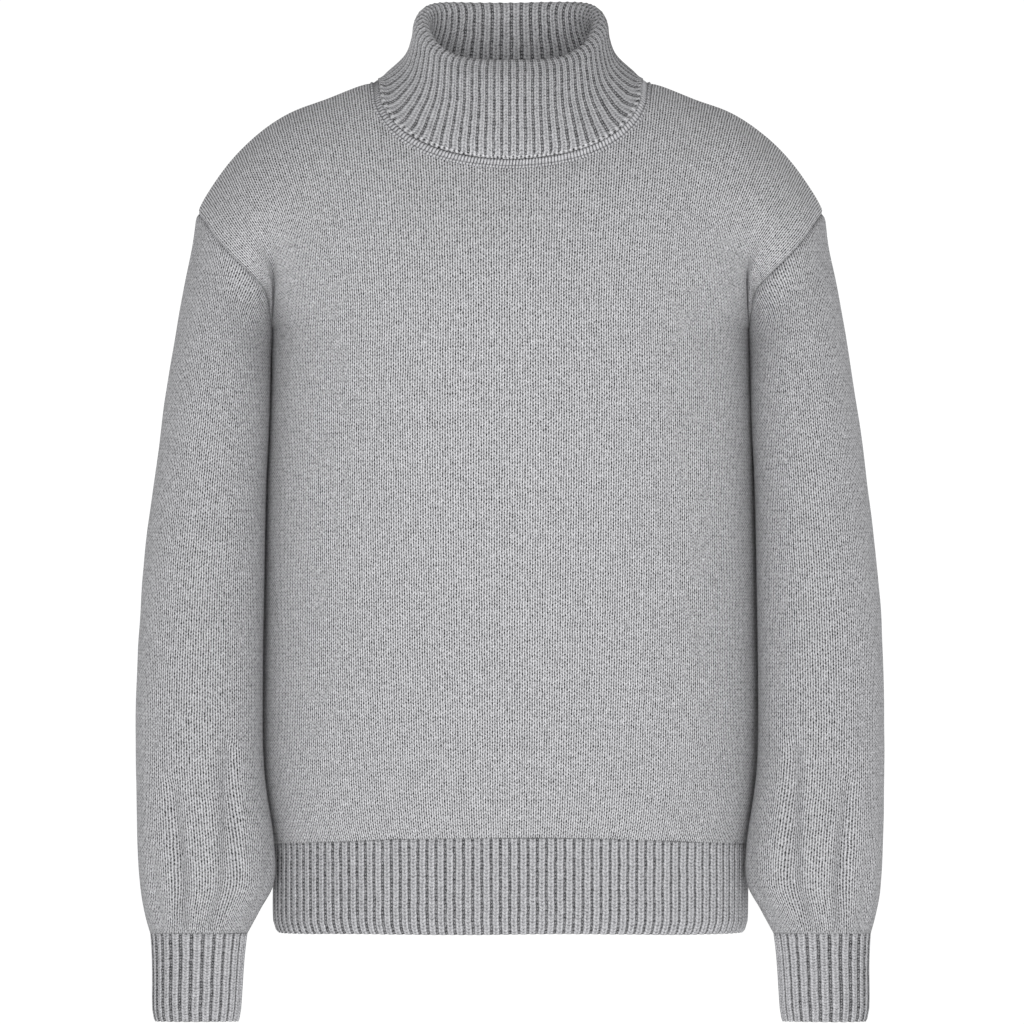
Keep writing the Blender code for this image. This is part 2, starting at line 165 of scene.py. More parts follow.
def between(table, position):
    """Read a table of rows at a position between them."""
    rows, t = around(table, position)
    return type(table[0])(*[smooth(*values, t) for values in zip(*rows)])


def along(points, position):
    """A point on the curve through a list of points."""
    near, t = around(points, position)
    return smooth(*near, t)


def stations(points, step):
    """Positions along a list of points, about a step apart."""
    result = []
    for index, (start, end) in enumerate(zip(points, points[1:])):
        count = max(2, round((end - start).length / step))
        result += [index + part / count for part in range(count)]
    return result + [len(points) - 1]


def walk(points, share):
    """The point at a share of the length of a run of points."""
    lengths = [(b - a).length for a, b in zip(points, points[1:])]
    left = share * sum(lengths)
    for start, end, length in zip(points, points[1:], lengths):
        if left <= length:
            return start.lerp(end, left / length)
        left -= length
    return points[-1].copy()


@lru_cache(maxsize=None)
def shoulder_line():
    """Points of the shoulder line, from the middle out to the armhole."""
    points = [Vector((0.0, 0.0, SHOULDER_HEIGHT))]
    steps = 240
    for step in range(steps + 1):
        turn = SHOULDER_END * step / steps
        across = NECK_POINT + SHOULDER_RUN * sin(turn) ** SHOULDER_ROUNDNESS
        fall = SHOULDER_DROP * (1.0 - cos(turn) ** SHOULDER_ROUNDNESS)
        for swell in SHOULDER_SWELLS:
            fall -= swell.rise * exp(-((across - swell.across) / swell.width) ** 2)
        points.append(Vector((across, 0.0, SHOULDER_HEIGHT - fall)))
    return points


@lru_cache(maxsize=None)
def shoulder(out):
    """The point of the shoulder line where a line of stitches starts."""
    return walk(shoulder_line(), out)


@lru_cache(maxsize=None)
def quarter_ring(section, side):
    """Points round a quarter of a body ring, from its middle to the side seam."""
    depth = section.front if side < 0 else section.back
    steps = 90
    points = []
    for step in range(steps + 1):
        turn = pi / 2 * step / steps
        height = section.height + section.lift * cos(turn) ** 2
        points.append(Vector((section.half_width * sin(turn), side * depth * cos(turn), height)))
    return points


@lru_cache(maxsize=None)
def body(section, out, side):
    """A point on a body ring; side is -1 on the front and 1 on the back."""
    return walk(quarter_ring(section, side), out)


@lru_cache(maxsize=None)
def armhole_line():
    """Points of the front half of the armhole, from the shoulder to the underarm."""
    before = ARMHOLE[1]._replace(forward=-ARMHOLE[1].forward)
    after = ARMHOLE[-2]._replace(forward=-ARMHOLE[-2].forward)
    loop = (before,) + ARMHOLE + (after,)
    steps = 120
    points = []
    for step in range(steps + 1):
        point = between(loop, 1 + (len(ARMHOLE) - 1) * step / steps)
        points.append(Vector((point.across, point.forward, point.height)))
    return points


@lru_cache(maxsize=None)
def armhole(down):
    """A point of the armhole; y is how far forward or back it is."""
    return walk(armhole_line(), down)


def armpit_fold(down, out):
    """How deep the cloth turns in between the body and the arm."""
    if not ARMPIT_FOLD[0].down < down < 1.0:
        return 0.0
    index = max(i for i, fold in enumerate(ARMPIT_FOLD) if fold.down <= down)
    start, end = ARMPIT_FOLD[index], ARMPIT_FOLD[index + 1]
    fold = between(ARMPIT_FOLD, index + (down - start.down) / (end.down - start.down))
    return fold.depth * exp(-((out - fold.out) / fold.width) ** 2)


def yoke(down, out, side):
    """A point of a panel above the underarm, on the wearer's left half.

    A line of stitches (out, 0 in the middle and 1 at the armhole) starts on the shoulder
    and runs down (down, 0 to 1) a quarter of an oval to the underarm ring.
    """
    turn = down * pi / 2
    top = shoulder(out)
    foot = body(BODY[0], out, side)
    across = foot.x + (top.x - foot.x) * cos(turn) ** FAN
    height = top.z + (foot.z - top.z) * (1.0 - cos(turn))
    depth = abs(foot.y) * sin(turn)
    seam = armhole(down)
    cap = ease((out - CAP_STARTS) / (1.0 - CAP_STARTS))
    depth += cap * seam.y - armpit_fold(down, out)
    tip, underarm = shoulder(1.0), body(BODY[0], 1.0, side)
    across += cap * (seam.x - underarm.x - (tip.x - underarm.x) * cos(turn) ** FAN)
    height += cap * (seam.z - tip.z - (underarm.z - tip.z) * (1.0 - cos(turn)))
    return Vector((across, side * depth, height))


@lru_cache(maxsize=None)
def neck_place(turn, side):
    """The line of stitches, and the share of the way down it, where the neck opening runs."""
    lowest = NECK_FRONT_HEIGHT if side < 0 else NECK_BACK_HEIGHT
    across = NECK_POINT * sin(turn) ** NECK_ROUNDNESS
    height = SHOULDER_HEIGHT + (lowest - SHOULDER_HEIGHT) * cos(turn) ** NECK_ROUNDNESS
    line_width = sum((b - a).length for a, b in zip(shoulder_line(), shoulder_line()[1:]))
    out = across / line_width
    fall = (height - SHOULDER_HEIGHT) / (UNDERARM_HEIGHT - SHOULDER_HEIGHT)
    down = acos(1.0 - fall) / (pi / 2)
    corrections = 12
    for _ in range(corrections):
        out += (across - yoke(down, out, side).x) / line_width
    return out, down


@lru_cache(maxsize=None)
def neck_line(side):
    """Places along the neck opening, from the middle to the line that it follows upwards."""
    steps = 160
    places = [(0.0, neck_place(0.0, side)[1])]
    for step in range(1, steps):
        place = neck_place(pi / 2 * step / steps, side)
        if place[0] >= NECK_SIDE_LINE:
            break
        places.append(place)
    return places + [(NECK_SIDE_LINE, places[-1][1])]


def neck_start(out, side):
    """How far down a line of stitches the neck opening crosses it."""
    for (out_a, down_a), (out_b, down_b) in zip(neck_line(side), neck_line(side)[1:]):
        if out_a <= out <= out_b:
            return down_a + (down_b - down_a) * (out - out_a) / (out_b - out_a)
    return neck_line(side)[-1][1]


def panel_lines():
    """The lines of stitches that a panel's mesh follows, closest together at the sides."""
    below_neck, beside_neck, crowding = 26, 46, 1.3
    neck_lines = [NECK_SIDE_LINE * step / below_neck for step in range(below_neck)]
    side_lines = []
    for step in range(beside_neck + 1):
        share = 1.0 - (1.0 - step / beside_neck) ** crowding
        side_lines.append(NECK_SIDE_LINE + (1.0 - NECK_SIDE_LINE) * share)
    half = neck_lines + side_lines
    return [-out for out in half[:0:-1]] + half


def panel_rows(side):
    """Points of a panel, from the shoulder down to the hem; None lies in the neck opening."""
    lines = panel_lines()
    corner = neck_line(side)[-1][1]
    rows = []
    beside_neck, below_neck = 14, 46
    for step in range(beside_neck):
        share = corner * step / beside_neck
        rows.append([
            yoke(share, abs(out), side) if abs(out) >= NECK_SIDE_LINE else None for out in lines
        ])
    for step in range(below_neck):
        row = []
        for out in lines:
            start = neck_start(abs(out), side)
            row.append(yoke(start + (1.0 - start) * step / below_neck, abs(out), side))
        rows.append(row)
    middle = [body(section, 0.0, side) for section in BODY]
    for position in stations(middle, PANEL_ROW):
        section = between(BODY, position)
        rows.append([body(section, abs(out), side) for out in lines])
    for row in rows:
        for column, out in enumerate(lines):
            if out < 0 and row[column]:
                row[column] = Vector((-row[column].x, row[column].y, row[column].z))
    return rows


def creased(x, z, creases):
    """How deep the creases are at a spot on a panel."""
    spot = Vector((x, z))
    depth = 0.0
    for crease in creases:
        start = Vector((crease.start_x, crease.start_z))
        run = Vector((crease.end_x, crease.end_z)) - start
        share = min(max((spot - start).dot(run) / run.length_squared, 0.0), 1.0)
        gap = (spot - start - run * share).length / crease.width
        depth += crease.depth * exp(-gap * gap) * (0.45 + 0.55 * sin(pi * share))
    return depth


def unevenness(point):
    """The slight waviness of soft cloth."""
    return 0.0011 * noise.noise(point * 11.0) + 0.0004 * noise.noise(point * 34.0)


def seam_swell(gap):
    """How far the cloth stands up a little way from a linked seam, which holds it down."""
    rise = 1.0 - exp(-(gap / SWELL_RISE) ** 2)
    return SWELL_HEIGHT * rise * exp(-(gap / SWELL_SPREAD) ** 2)


def cloth(name, rows, wales, course, relief, wall, outwards, closed=False, trim=0.0):
    """A knitted wall through rows of points.

    Its UV map counts stitches: wales across and courses up from the last row. The relief
    of each point, from its wale, its way down from the first row and its place, is added
    along the face. Outwards gives the side that shows. A trim is the width of the edge, at
    the first row, that takes the second material.
    """
    columns = len(wales) - 1
    knitting = bmesh.new()
    bmesh.ops.create_grid(knitting, x_segments=columns, y_segments=len(rows) - 1, size=0.5)
    stitches = knitting.loops.layers.uv.new("stitches")
    heights = [[0.0] * len(wales) for _ in rows]
    for row in range(len(rows) - 2, -1, -1):
        for column in range(len(wales)):
            if rows[row][column] is not None:
                step = (rows[row][column] - rows[row + 1][column]).length
                heights[row][column] = heights[row + 1][column] + step
    places = {}
    for vert in knitting.verts:
        column = round((vert.co.x + 0.5) * columns)
        row = round((0.5 - vert.co.y) * (len(rows) - 1))
        places[vert] = (row, column)
    for face in knitting.faces:
        for loop in face.loops:
            row, column = places[loop.vert]
            loop[stitches].uv = (wales[column], heights[row][column] / course)
    spare = [vert for vert, (row, column) in places.items() if rows[row][column] is None]
    for vert, (row, column) in places.items():
        if rows[row][column] is not None:
            vert.co = rows[row][column]
    bmesh.ops.delete(knitting, geom=spare, context="VERTS")
    knitting.normal_update()
    facing = sum(face.normal.dot(outwards(face.calc_center_median())) for face in knitting.faces)
    if facing < 0:
        bmesh.ops.reverse_faces(knitting, faces=knitting.faces)
    if closed:
        same_place = 0.00002
        bmesh.ops.remove_doubles(knitting, verts=knitting.verts, dist=same_place)
    knitting.normal_update()
    tops = [max(column) for column in zip(*heights)]
    raised = {}
    for vert in knitting.verts:
        row, column = places[vert]
        fallen = tops[column] - heights[row][column]
        raised[vert] = vert.co + vert.normal * relief(wales[column], fallen, vert.co)
    for vert, point in raised.items():
        vert.co = point
    for face in knitting.faces:
        row, column = places[face.verts[0]]
        if tops[column] - heights[row][column] < trim:
            face.material_index = 1
    mesh = bpy.data.meshes.new(name)
    knitting.to_mesh(mesh)
    knitting.free()
    mesh.shade_smooth()
    piece = bpy.data.objects.new(name, mesh)
    bpy.context.scene.collection.objects.link(piece)
    solidify = piece.modifiers.new("wall", "SOLIDIFY")
    solidify.thickness = wall
    solidify.offset = -1.0
    solidify.use_quality_normals = True
    return piece


def worked(nodes, links, operation, *values):
    """One step of arithmetic in a material."""
    step = nodes.new("ShaderNodeMath")
    step.operation = operation
    for socket, value in zip(step.inputs, values):
        if isinstance(value, (int, float)):
            socket.default_value = value
        else:
            links.new(value, socket)
    return step.outputs["Value"]


# The melange: fine flecks of fibre and broader clouds, and the brightest it can make a yarn.
FLECKS = 2.8
CLOUDS = 0.5
MELANGE = 0.6
BRIGHTEST = 1.25
FUZZ = 0.3


def knit_material(name, pattern, light, painted_gap_shade, relief, slack, gap_shade_variation):
    """Melange wool whose stitches stand out by their height, from 0 in a gap to 1.

    The colour goes from the light colour on top of the stitches to the dark one in the gaps,
    which is painted shade. Slack is how far the stitches stray from their wales and courses,
    and the last argument how much the painted shade in the gaps varies from stitch to stitch.
    """
    material = bpy.data.materials.new(name)
    material.use_nodes = True
    nodes, links = material.node_tree.nodes, material.node_tree.links
    shader = nodes["Principled BSDF"]
    shader.inputs["Roughness"].default_value = 0.92
    shader.inputs["Specular IOR Level"].default_value = 0.18
    shader.inputs["Sheen Weight"].default_value = 0.12
    shader.inputs["Sheen Roughness"].default_value = 0.45
    count = nodes.new("ShaderNodeUVMap")
    count.uv_map = "stitches"
    stray = nodes.new("ShaderNodeTexNoise")
    stray.inputs["Scale"].default_value = 0.32
    stray.inputs["Detail"].default_value = 2.0
    links.new(count.outputs["UV"], stray.inputs["Vector"])
    shifted = nodes.new("ShaderNodeVectorMath")
    shifted.operation = "MULTIPLY_ADD"
    shifted.inputs[1].default_value = (*slack, 0.0)
    links.new(stray.outputs["Color"], shifted.inputs[0])
    links.new(count.outputs["UV"], shifted.inputs[2])
    parts = nodes.new("ShaderNodeSeparateXYZ")
    links.new(shifted.outputs["Vector"], parts.inputs["Vector"])
    height = pattern(nodes, links, parts.outputs["X"], parts.outputs["Y"])

    fibre = nodes.new("ShaderNodeTexNoise")
    fibre.inputs["Scale"].default_value = 1400.0
    fibre.inputs["Detail"].default_value = 3.0
    mottle = nodes.new("ShaderNodeTexNoise")
    mottle.inputs["Scale"].default_value = 190.0
    mottle.inputs["Detail"].default_value = 4.0
    place = nodes.new("ShaderNodeTexCoord")
    links.new(place.outputs["Object"], fibre.inputs["Vector"])
    links.new(place.outputs["Object"], mottle.inputs["Vector"])
    # Noise over the stitches, stretched along them, that makes the painted shade in the gaps
    # deeper in some and lighter in others.
    stretch = nodes.new("ShaderNodeVectorMath")
    stretch.operation = "MULTIPLY"
    stretch.inputs[1].default_value = (1.7, 0.9, 0.0)
    links.new(count.outputs["UV"], stretch.inputs[0])
    gap_shade_noise = nodes.new("ShaderNodeTexNoise")
    gap_shade_noise.inputs["Scale"].default_value = 1.0
    gap_shade_noise.inputs["Detail"].default_value = 1.0
    links.new(stretch.outputs["Vector"], gap_shade_noise.inputs["Vector"])
    flecks = worked(nodes, links, "MULTIPLY_ADD", fibre.outputs["Fac"], FLECKS, -FLECKS / 2)
    clouds = worked(nodes, links, "MULTIPLY_ADD", mottle.outputs["Fac"], CLOUDS, -CLOUDS / 2)
    mixed = worked(nodes, links, "ADD", flecks, clouds)
    shade = worked(nodes, links, "MULTIPLY", mixed, MELANGE)
    # Low is 1 in the gaps between stitches, where that noise varies the painted shade.
    low = worked(nodes, links, "SUBTRACT", 1.0, height)
    centred = worked(nodes, links, "SUBTRACT", gap_shade_noise.outputs["Fac"], 0.5)
    gap_shade_change = worked(nodes, links, "MULTIPLY", centred, gap_shade_variation)
    shade = worked(nodes, links, "ADD", shade, worked(nodes, links, "MULTIPLY", low, gap_shade_change))
    tone = worked(nodes, links, "ADD", height, shade)
    tone = worked(nodes, links, "MINIMUM", worked(nodes, links, "MAXIMUM", tone, 0.0), BRIGHTEST)
    # Painted shade: low stitch heights take the dark colour, shade painted into the gaps, and high
    # ones the yarn's light colour.
    yarn_colour_and_shade = nodes.new("ShaderNodeMix")
    yarn_colour_and_shade.data_type = "RGBA"
    yarn_colour_and_shade.clamp_factor = False
    yarn_colour_and_shade.inputs["A"].default_value = (*painted_gap_shade, 1.0)
    yarn_colour_and_shade.inputs["B"].default_value = (*light, 1.0)
    links.new(tone, yarn_colour_and_shade.inputs["Factor"])
    links.new(yarn_colour_and_shade.outputs["Result"], shader.inputs["Base Color"])

    fuzz = worked(nodes, links, "MULTIPLY_ADD", fibre.outputs["Fac"], FUZZ, 0.0)
    bump = nodes.new("ShaderNodeBump")
    bump.inputs["Strength"].default_value = 0.75
    bump.inputs["Distance"].default_value = relief
    links.new(worked(nodes, links, "ADD", height, fuzz), bump.inputs["Height"])
    links.new(bump.outputs["Normal"], shader.inputs["Normal"])
    return material


STITCH_SLANT = 0.6


def plain_stitch(nodes, links, wale, course):
    """Height of plain stitch: two slanting legs in each wale, lowest where stitches meet."""
    leg_thinness, bar_thinness, bar_height, leg_dip = 1.9, 1.5, 0.42, 0.18
    across = worked(nodes, links, "FRACT", wale)
    centred = worked(nodes, links, "SUBTRACT", across, 0.5)
    side = worked(nodes, links, "MULTIPLY", worked(nodes, links, "ABSOLUTE", centred), 2.0)
    leg = worked(nodes, links, "SINE", worked(nodes, links, "MULTIPLY", side, pi))
    slant = worked(nodes, links, "MULTIPLY", side, STITCH_SLANT)
    strand = worked(nodes, links, "FRACT", worked(nodes, links, "SUBTRACT", course, slant))
    bulge = worked(nodes, links, "SINE", worked(nodes, links, "MULTIPLY", strand, pi))
    thread = worked(nodes, links, "POWER", leg, leg_thinness)
    bars = worked(nodes, links, "POWER", bulge, bar_thinness)
    pit = worked(nodes, links, "MULTIPLY", worked(nodes, links, "SUBTRACT", 1.0, thread), bars)
    legs = worked(nodes, links, "MULTIPLY_ADD", bulge, leg_dip, 1.0 - leg_dip)
    legs = worked(nodes, links, "MULTIPLY", thread, legs)
    return worked(nodes, links, "MULTIPLY_ADD", pit, bar_height, legs)


# Its black colour is painted shade for the gaps between the stitches.
plain_knit = knit_material(
    "light_grey_plain_knit", plain_stitch, light=(0.67, 0.67, 0.69), painted_gap_shade=(0.0, 0.0, 0.0),
    relief=0.0012, slack=(0.3, 0.8), gap_shade_variation=1.6,
)

for side, name, creases in ((-1, "front_panel", FRONT_CREASES), (1, "back_panel", BACK_CREASES)):
    def panel_relief(wale, fallen, point, creases=creases):
        from_side = (1.0 - abs(wale * 2 / PANEL_WALES - 1.0)) * PANEL_HALF_GIRTH
        held = ease(min(from_side, fallen) / SEAM_HOLD)
        beside_armhole = ease((point.z - UNDERARM_HEIGHT + 0.02) / 0.03)
        waves = unevenness(point) - creased(point.x, point.z, creases)
        return held * waves + seam_swell(from_side) * beside_armhole

    wales = [PANEL_WALES / 2 * (1.0 + out) for out in panel_lines()]
    panel = cloth(
        name + "_cloth", panel_rows(side), wales, PANEL_COURSE, panel_relief, PANEL_WALL,
        outwards=lambda centre, side=side: Vector((0.0, side, 0.0)),
    )
    panel.data.materials.append(plain_knit)
    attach(panel, "root")
    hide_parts(name)


# Hem ribs
# The welt at the bottom of each panel, in one by one rib of the same wool: a standing line
# of plain stitches, then a sunk line of purl. It grips a little, so the body above it
# bulges over it, and it is closed at the side seams.

HEM_REPEATS = 64
HEM_COURSE = 0.00265
HEM_HALF_GIRTH = 0.22
RIB_WALL = 0.0016
RIB_DEPTH = 0.0008
RIB_POINTS = 8
HEM_RIB_FADE = 0.005
HEM = (
    BODY[-1],
    Section(height=-0.6100, half_width=0.1817, front=0.0960, back=0.0910, lift=0.0045),
    Section(height=-0.6430, half_width=0.1814, front=0.0955, back=0.0905, lift=0.0020),
    Section(height=-0.6518, half_width=0.1775, front=0.0925, back=0.0875, lift=0.0017),
)


def rib_groove(wale):
    """How far a point of rib is sunk, most in the line of purl between two plain lines."""
    return RIB_DEPTH * (0.5 + 0.5 * cos(2 * pi * wale)) ** 3


def rib_stitch(nodes, links, wale, course):
    """Height of one by one rib: two legs on the standing line, small bars in the sunk one."""
    ridge, leg_thinness, bar_thinness, bar_height = 0.85, 0.9, 1.3, 0.95
    across = worked(nodes, links, "FRACT", wale)
    centred = worked(nodes, links, "SUBTRACT", across, 0.5)
    side = worked(nodes, links, "MULTIPLY", worked(nodes, links, "ABSOLUTE", centred), 2.0)
    share = worked(nodes, links, "MINIMUM", worked(nodes, links, "DIVIDE", side, ridge), 1.0)
    leg = worked(nodes, links, "SINE", worked(nodes, links, "MULTIPLY", share, pi))
    slant = worked(nodes, links, "MULTIPLY", share, STITCH_SLANT)
    strand = worked(nodes, links, "FRACT", worked(nodes, links, "SUBTRACT", course, slant))
    bulge = worked(nodes, links, "SINE", worked(nodes, links, "MULTIPLY", strand, pi))
    firm = worked(nodes, links, "MULTIPLY_ADD", bulge, 0.40, 0.58)
    notch = worked(nodes, links, "MULTIPLY_ADD", bulge, 0.3, 0.35)
    thread = worked(nodes, links, "POWER", leg, leg_thinness)
    legs = worked(nodes, links, "MULTIPLY", thread, firm)
    middle = worked(nodes, links, "MULTIPLY", worked(nodes, links, "LESS_THAN", share, 0.5), notch)
    legs = worked(nodes, links, "MAXIMUM", legs, middle)
    sunk = worked(nodes, links, "MAXIMUM", worked(nodes, links, "SUBTRACT", side, ridge), 0.0)
    bar = worked(nodes, links, "MULTIPLY", sunk, bar_height / (1.0 - ridge))
    beat = worked(nodes, links, "FRACT", worked(nodes, links, "ADD", course, 0.5))
    bead = worked(nodes, links, "SINE", worked(nodes, links, "MULTIPLY", beat, pi))
    bars = worked(nodes, links, "MULTIPLY", bar, worked(nodes, links, "POWER", bead, bar_thinness))
    return worked(nodes, links, "MAXIMUM", legs, bars)


# Its near-black colour is painted shade for the sunk purl lines and the gaps between stitches.
rib_knit = knit_material(
    "grey_rib_knit", rib_stitch, light=(0.57, 0.57, 0.59), painted_gap_shade=(0.03, 0.03, 0.032),
    relief=0.0012, slack=(0.18, 0.6), gap_shade_variation=1.0,
)

hem_points = HEM_REPEATS * RIB_POINTS
hem_lines = [2 * point / hem_points - 1.0 for point in range(hem_points + 1)]
for side, name in ((-1, "hem_rib_front"), (1, "hem_rib_back")):
    rows = []
    for position in stations([body(section, 0.0, side) for section in HEM], PANEL_ROW):
        section = between(HEM, position)
        half = [body(section, abs(out), side) for out in hem_lines]
        rows.append([
            Vector((point.x if out > 0 else -point.x, point.y, point.z))
            for point, out in zip(half, hem_lines)
        ])

    def hem_relief(wale, fallen, point):
        from_side = (1.0 - abs(wale * 2 / HEM_REPEATS - 1.0)) * HEM_HALF_GIRTH
        ribs = rib_groove(wale) * ease(fallen / HEM_RIB_FADE)
        return ease(from_side / SEAM_HOLD) * unevenness(point) - ribs

    welt = cloth(
        name + "_cloth", rows, [HEM_REPEATS / 2 * (1.0 + out) for out in hem_lines], HEM_COURSE,
        hem_relief, RIB_WALL, outwards=lambda centre, side=side: Vector((0.0, side, 0.0)),
    )
    welt.data.materials.append(rib_knit)
    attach(welt, "root")
    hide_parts(name)


# Sleeves
# Two long tubes of the same wool in a slightly finer plain stitch, linked to the straight
# armholes below the shoulders and hanging just clear of the body. Each is twice as wide as
# its cuff, so it is gathered there and falls in soft folds above it.

SLEEVE_WALES = 76
SLEEVE_COURSE = 0.0029
SLEEVE_LINES = 130
SLEEVE_GIRTH = 0.31
SLEEVE_ROW = 0.0040
SLEEVE_ENDS = -0.6515
FOLDS_FADE = 0.008
RESTING_SHARE = 0.07
ARM_MIDDLE = 0.235
ARM_FORWARD = -0.02

# The edge of a sleeve that is turned in at the armhole.
ALLOWANCE_SINKS = 0.0025
ALLOWANCE_RUNS_IN = 0.004
ALLOWANCE_DIRECTION = Vector((-0.845, 0.0, 0.536))
ALLOWANCE_LENGTH = 0.0047

Cut = namedtuple("Cut", "outer outer_height inner inner_height front back")
SLEEVE = (
    Cut(0.2425, -0.1260, 0.1826, -0.2060, 0.0590, 0.0530),
    Cut(0.2500, -0.1640, 0.1828, -0.2320, 0.0665, 0.0430),
    Cut(0.2590, -0.2180, 0.1838, -0.2640, 0.0710, 0.0350),
    Cut(0.2700, -0.2920, 0.1862, -0.3140, 0.0730, 0.0290),
    Cut(0.2798, -0.3720, 0.1875, -0.3780, 0.0740, 0.0245),
    Cut(0.2845, -0.4560, 0.1886, -0.4560, 0.0745, 0.0210),
    Cut(0.2850, -0.5240, 0.1878, -0.5240, 0.0735, 0.0180),
    Cut(0.2842, -0.5840, 0.1800, -0.5820, 0.0705, 0.0130),
    Cut(0.2822, -0.6160, 0.1798, -0.6120, 0.0645, 0.0065),
    Cut(0.2785, -0.6360, 0.1903, -0.6330, 0.0565, -0.0035),
    Cut(0.2743, -0.6512, 0.2002, -0.6512, 0.0490, -0.0110),
)

# Folds of a sleeve: x is the way round it, from its outer side over the front.
SLEEVE_CREASES = (
    Crease(0.055, -0.540, 0.060, -0.665, 0.0058, 0.0082),
    Crease(0.103, -0.510, 0.089, -0.660, 0.0066, 0.0088),
    Crease(0.076, -0.600, 0.074, -0.650, 0.0060, 0.0014),
    Crease(0.032, -0.585, 0.036, -0.648, 0.0065, 0.0018),
    Crease(0.138, -0.575, 0.128, -0.645, 0.0070, 0.0020),
    Crease(0.206, -0.530, 0.212, -0.646, 0.0085, 0.0032),
    Crease(0.252, -0.495, 0.246, -0.647, 0.0080, 0.0028),
    Crease(0.280, -0.590, 0.276, -0.648, 0.0060, 0.0016),
    Crease(0.118, -0.318, 0.060, -0.352, 0.0140, 0.0012),
    Crease(0.124, -0.372, 0.072, -0.398, 0.0130, 0.0013),
    Crease(0.048, -0.250, 0.070, -0.330, 0.0160, -0.0010),
    Crease(0.190, -0.330, 0.240, -0.368, 0.0140, 0.0014),
    Crease(0.200, -0.402, 0.262, -0.430, 0.0150, 0.0013),
)


def tube_point(cut, turn):
    """A point on a ring of the left sleeve or cuff, in half turns from its outer side."""
    middle = Vector(((cut.outer + cut.inner) / 2, 0.0, (cut.outer_height + cut.inner_height) / 2))
    reach = Vector((cut.outer - cut.inner, 0.0, cut.outer_height - cut.inner_height)) / 2
    forward = (cut.back - cut.front) / 2 - (cut.back + cut.front) / 2 * sin(pi * turn)
    point = middle + reach * cos(pi * turn)
    return Vector((point.x, forward, point.z))


def tube_rows(rings, count, hand, step):
    """Rows of points down a tube; each ring gives a point at a turn of 0 to 2."""
    turns = [2.0 * line / count for line in range(count + 1)]
    lines = [[ring(turn) for ring in rings] for turn in turns]
    rows = []
    for position in stations(lines[count // 4], step):
        row = [along(line, position) for line in lines]
        rows.append([Vector((hand * point.x, point.y, point.z)) for point in row])
    return rows


def armhole_ring(turn):
    """A point of the left armhole, in half turns from the shoulder over the front."""
    point = armhole(turn if turn <= 1.0 else 2.0 - turn)
    return Vector((point.x, -point.y if turn <= 1.0 else point.y, point.z))


def allowance_ring(turn):
    """The edge of the sleeve's seam allowance, tucked inside the armhole."""
    edge = armhole_ring(turn)
    middle = (armhole(0.0) + armhole(1.0)) / 2
    sunk = edge + (middle - edge).normalized() * ALLOWANCE_SINKS
    return sunk + ALLOWANCE_DIRECTION * ALLOWANCE_RUNS_IN


# Its black colour is painted shade for the gaps between the stitches.
sleeve_knit = knit_material(
    "light_grey_fine_knit", plain_stitch, light=(0.62, 0.62, 0.64), painted_gap_shade=(0.0, 0.0, 0.0),
    relief=0.0012, slack=(0.3, 0.8), gap_shade_variation=1.8,
)


def arm_drape(share, point):
    """Folds and waviness of a sleeve or cuff, kept flat where it rests on the body."""
    beside_body = exp(-((share - 0.5) / RESTING_SHARE) ** 2)
    folds = creased(share * SLEEVE_GIRTH, point.z, SLEEVE_CREASES)
    folds *= ease((point.z - SLEEVE_ENDS) / FOLDS_FADE)
    return (1.0 - beside_body) * (unevenness(point) - folds)


def sleeve_relief(wale, fallen, point):
    below_seam = fallen - ALLOWANCE_LENGTH
    drape = arm_drape(wale / SLEEVE_WALES, point) * ease(below_seam / SEAM_HOLD)
    return drape + seam_swell(max(below_seam, 0.0))


def from_arm(centre, hand):
    """The way outwards from the middle of a sleeve or cuff."""
    return Vector((centre.x - hand * ARM_MIDDLE, centre.y - ARM_FORWARD, 0.0))


for hand, name in ((1, "sleeve_left"), (-1, "sleeve_right")):
    def seam_side(turn):
        return armhole_ring(turn).lerp(tube_point(SLEEVE[0], turn), 0.1)

    rings = [allowance_ring, armhole_ring, seam_side]
    rings += [lambda turn, cut=cut: tube_point(cut, turn) for cut in SLEEVE]
    sleeve = cloth(
        name + "_cloth", tube_rows(rings, SLEEVE_LINES, hand, SLEEVE_ROW),
        [SLEEVE_WALES * line / SLEEVE_LINES for line in range(SLEEVE_LINES + 1)], SLEEVE_COURSE,
        sleeve_relief, PANEL_WALL, outwards=lambda centre, hand=hand: from_arm(centre, hand),
        closed=True,
    )
    sleeve.data.materials.append(sleeve_knit)
    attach(sleeve, "root")
    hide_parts(name)


# Cuffs
# Short tubes of one by one rib in the same wool, knitted on to the gathered ends of the
# sleeves.

CUFF_REPEATS = 26
CUFF_COURSE = 0.0022
CUFF_POINTS = 10
CUFF_RIB_SCALE = 1.7
CUFF_RIB_FADE = 0.004
CUFF = (
    Cut(0.2743, -0.6512, 0.2002, -0.6512, 0.0490, -0.0110),
    Cut(0.2732, -0.6720, 0.2025, -0.6720, 0.0490, -0.0120),
    Cut(0.2730, -0.7090, 0.2050, -0.7090, 0.0495, -0.0130),
    Cut(0.2708, -0.7185, 0.2070, -0.7185, 0.0480, -0.0145),
)


def cuff_relief(wale, fallen, point):
    ribs = CUFF_RIB_SCALE * rib_groove(wale) * ease(fallen / CUFF_RIB_FADE)
    return arm_drape(wale / CUFF_REPEATS, point) - ribs


